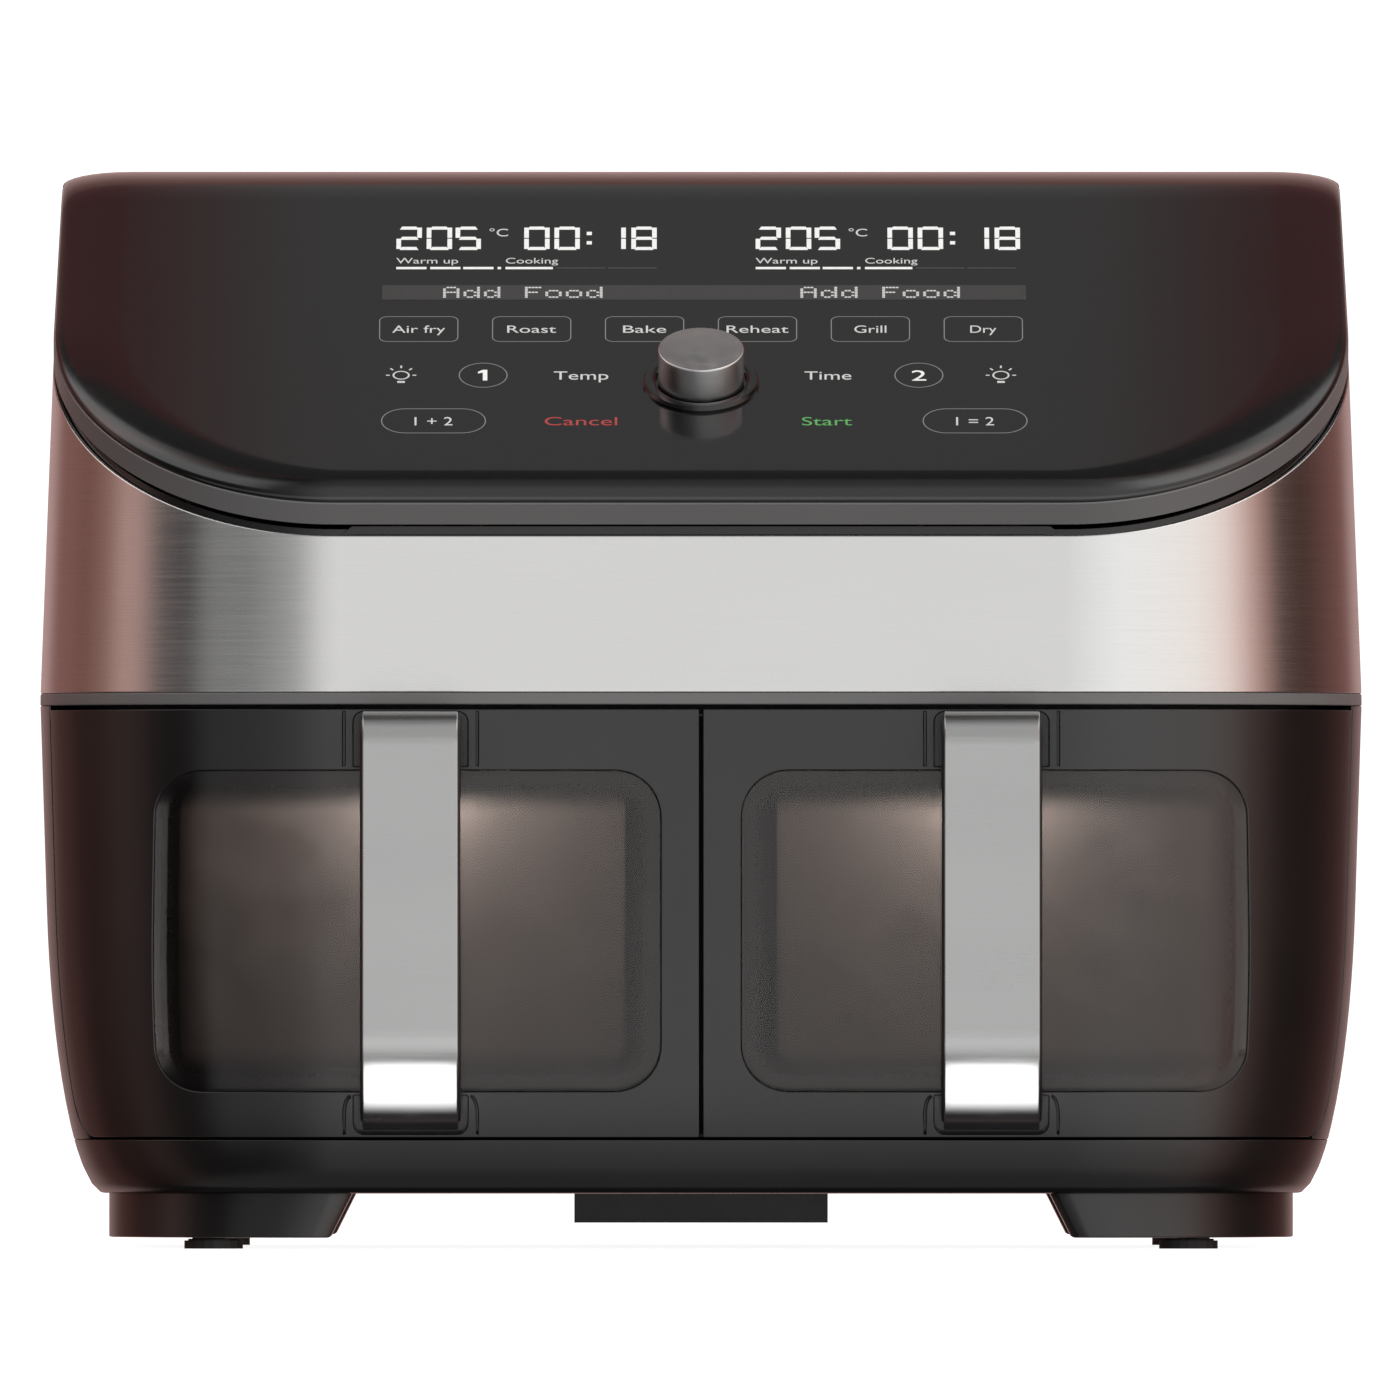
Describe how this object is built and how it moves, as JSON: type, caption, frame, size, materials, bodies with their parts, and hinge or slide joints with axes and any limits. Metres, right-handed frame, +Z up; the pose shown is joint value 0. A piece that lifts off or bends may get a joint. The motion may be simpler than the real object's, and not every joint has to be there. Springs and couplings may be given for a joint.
{
  "type": "two-drawer air fryer",
  "caption": "Countertop air fryer with paired windowed drawers, strap handles, a brushed steel band and a sloping touch panel with a rotary knob.",
  "frame": {"origin": "on the worktop, under the middle of the whole appliance, handles and rear spacer included", "axes": "+Z up, the front with the drawers faces -Y, +X is the user's right when facing the front"},
  "size_m": [0.384, 0.404, 0.314],
  "materials": {
    "housing": "satin black moulding",
    "gloss_panel": "polished black",
    "trim_grey": "dark grey moulding",
    "brushed_steel": "brushed",
    "knob_metal": "satin turned",
    "sheet_steel": "mill",
    "rubber": "matt",
    "non_stick": "non-stick coating",
    "glass": "tinted, polished",
    "lamp_glass": "frosted",
    "board": "solder resist"
  },
  "bodies": {
    "root": {"base_pan": "housing", "rubber_foot_front_left": "rubber", "rubber_foot_front_right": "rubber", "rubber_foot_rear_left": "rubber", "rubber_foot_rear_right": "rubber", "side_panel_left": "housing", "side_panel_right": "housing", "rear_cover": "housing", "rear_spacer": "housing", "cord_gland": "rubber", "top_cover": "housing", "control_panel": "gloss_panel", "panel_frame": "housing", "front_housing": "housing", "steel_band": "brushed_steel", "bezel": "trim_grey", "front_frame": "housing", "knob_collar": "gloss_panel", "encoder": "sheet_steel", "display_board": "board", "display_module": "gloss_panel", "main_board": "board", "chamber_left": "sheet_steel", "chamber_right": "sheet_steel", "air_cowl_left": "sheet_steel", "air_cowl_right": "sheet_steel", "heating_element_left": "sheet_steel", "heating_element_right": "sheet_steel", "element_guard_left": "sheet_steel", "element_guard_right": "sheet_steel", "motor_left": "sheet_steel", "motor_right": "sheet_steel", "chamber_lamp_left": "lamp_glass", "chamber_lamp_right": "lamp_glass", "drawer_switch_left": "housing", "drawer_switch_right": "housing"},
    "drawer_left": {"drawer_front_left": "housing", "window_glass_left": "glass", "window_seal_left": "rubber", "basket_left": "non_stick", "inner_glass_left": "glass", "handle_strap_left": "brushed_steel", "handle_grip_left": "housing"},
    "tray_left": {"crisper_tray_left": "non_stick"},
    "fan_left": {"hot_fan_left": "sheet_steel", "fan_shaft_left": "sheet_steel", "cooling_fan_left": "housing"},
    "drawer_right": {"drawer_front_right": "housing", "window_glass_right": "glass", "window_seal_right": "rubber", "basket_right": "non_stick", "inner_glass_right": "glass", "handle_strap_right": "brushed_steel", "handle_grip_right": "housing"},
    "tray_right": {"crisper_tray_right": "non_stick"},
    "fan_right": {"hot_fan_right": "sheet_steel", "fan_shaft_right": "sheet_steel", "cooling_fan_right": "housing"},
    "knob": {"knob": "knob_metal", "knob_shaft": "sheet_steel"}
  },
  "joints": [
    {"name": "drawer_left_slide", "type": "slide", "parent": "root", "child": "drawer_left", "axis": [0, -1, 0], "range_m": [0, 0.29]},
    {"name": "drawer_right_slide", "type": "slide", "parent": "root", "child": "drawer_right", "axis": [0, -1, 0], "range_m": [0, 0.29]},
    {"name": "tray_left_lift", "type": "slide", "parent": "drawer_left", "child": "tray_left", "axis": [0, 0, 1], "range_m": [0, 0.09]},
    {"name": "tray_right_lift", "type": "slide", "parent": "drawer_right", "child": "tray_right", "axis": [0, 0, 1], "range_m": [0, 0.09]},
    {"name": "knob_turn", "type": "hinge", "parent": "root", "child": "knob", "pos_m": [0, -0.1189, 0.2509], "axis": [0, -0.515, 0.8572], "continuous": true},
    {"name": "fan_left_spin", "type": "hinge", "parent": "root", "child": "fan_left", "pos_m": [-0.0875, -0.008, 0.2], "axis": [0, 0, 1], "continuous": true},
    {"name": "fan_right_spin", "type": "hinge", "parent": "root", "child": "fan_right", "pos_m": [0.0875, -0.008, 0.2], "axis": [0, 0, 1], "continuous": true}
  ]
}
